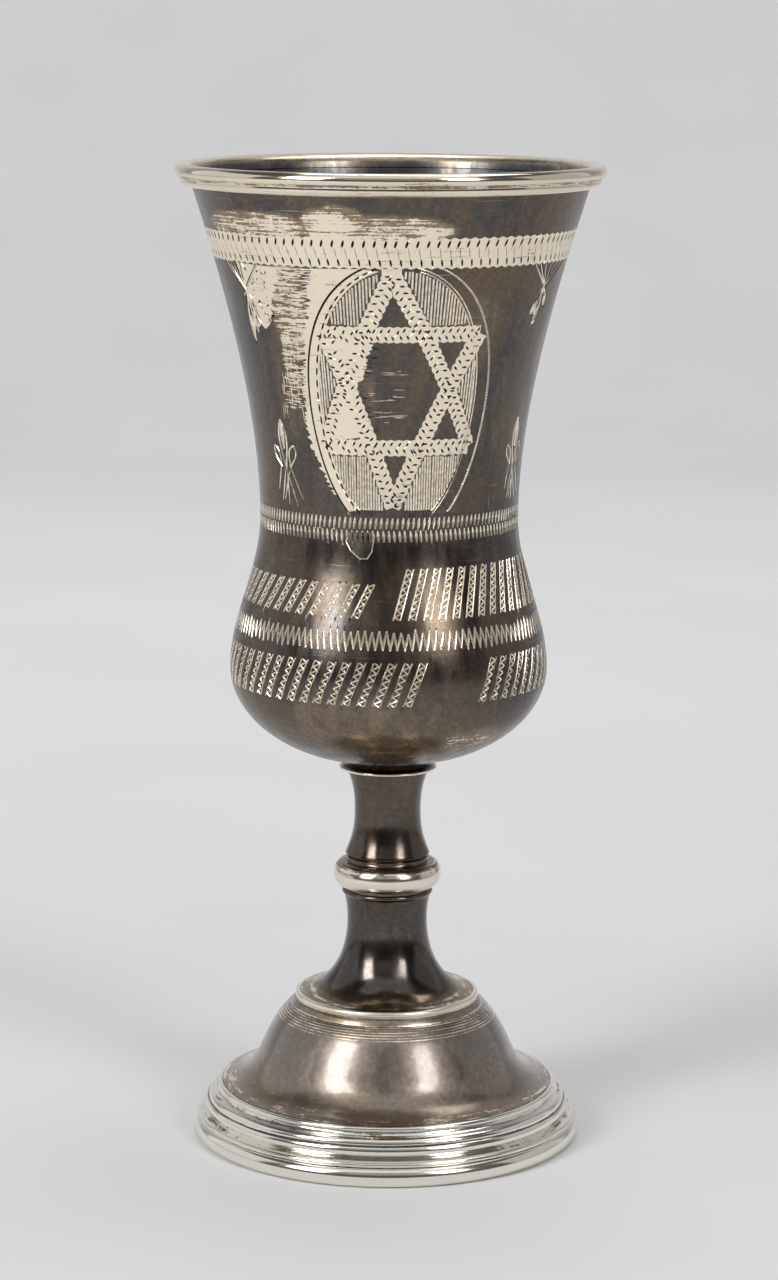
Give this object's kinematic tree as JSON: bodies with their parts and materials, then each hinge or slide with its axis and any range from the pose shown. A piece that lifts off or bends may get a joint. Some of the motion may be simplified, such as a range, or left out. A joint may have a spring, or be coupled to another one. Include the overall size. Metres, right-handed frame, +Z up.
{
  "type": "kiddush cup",
  "caption": "Small stemmed silver wine cup for blessings, with an engraved waisted bowl, a ring knop and a stepped spun foot.",
  "frame": {"origin": "centre of the foot's underside, on the surface that the cup stands on", "axes": "+Z up the cup's axis towards the rim; -Y is the front, the side with the engraved oval and star"},
  "size_m": [0.058, 0.0584, 0.1354],
  "materials": {
    "tarnished_silver": "polished silver under an old grey-brown tarnish, worn bright on high places",
    "bright_silver": "worn bright silver with a faint warm tone"
  },
  "bodies": {
    "root": {"bowl": "tarnished_silver", "rim_band": "bright_silver", "stem": "tarnished_silver", "foot": "tarnished_silver"}
  },
  "joints": []
}
